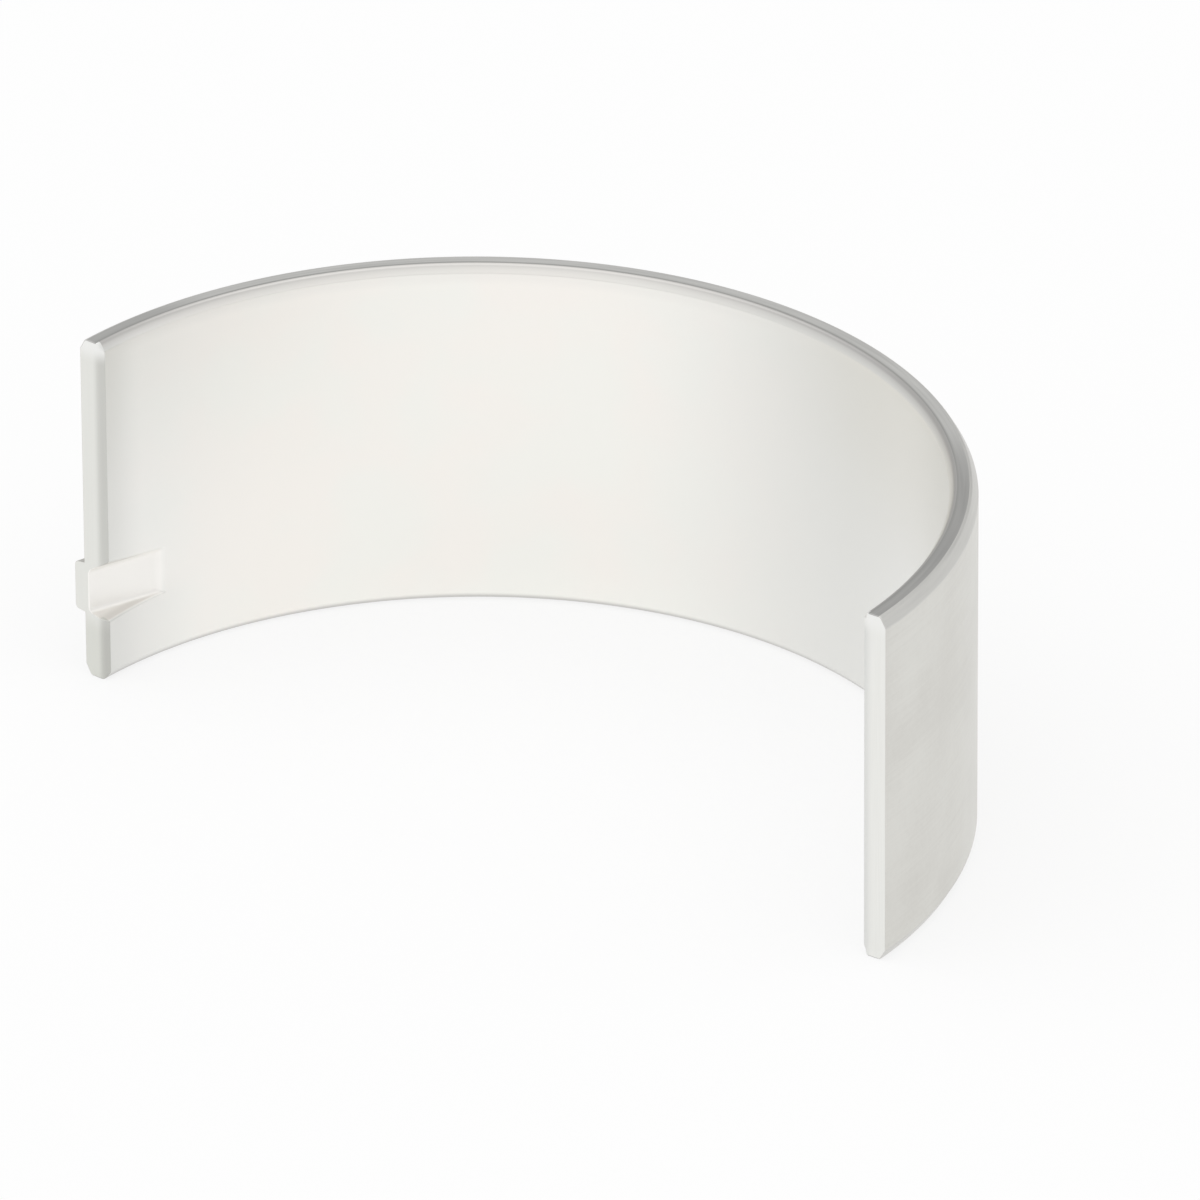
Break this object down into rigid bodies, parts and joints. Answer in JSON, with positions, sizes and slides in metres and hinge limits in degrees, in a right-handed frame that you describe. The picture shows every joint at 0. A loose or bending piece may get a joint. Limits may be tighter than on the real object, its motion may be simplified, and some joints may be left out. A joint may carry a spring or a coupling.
{
  "type": "bearing shell",
  "caption": "Thin half-round plain bearing shell for a split engine bearing, chamfered at its edges, with a pressed-out locating lug at one end.",
  "frame": {"origin": "on the bearing axis, at the middle of the shell's width", "axes": "+Z along the bearing axis, upward as the shell stands on a side face; the open side faces -Y and the lug is at the -X end"},
  "size_m": [0.0526, 0.0252, 0.0196],
  "materials": {
    "tin_flash": "satin"
  },
  "bodies": {
    "root": {"bearing_shell": "tin_flash"}
  },
  "joints": []
}
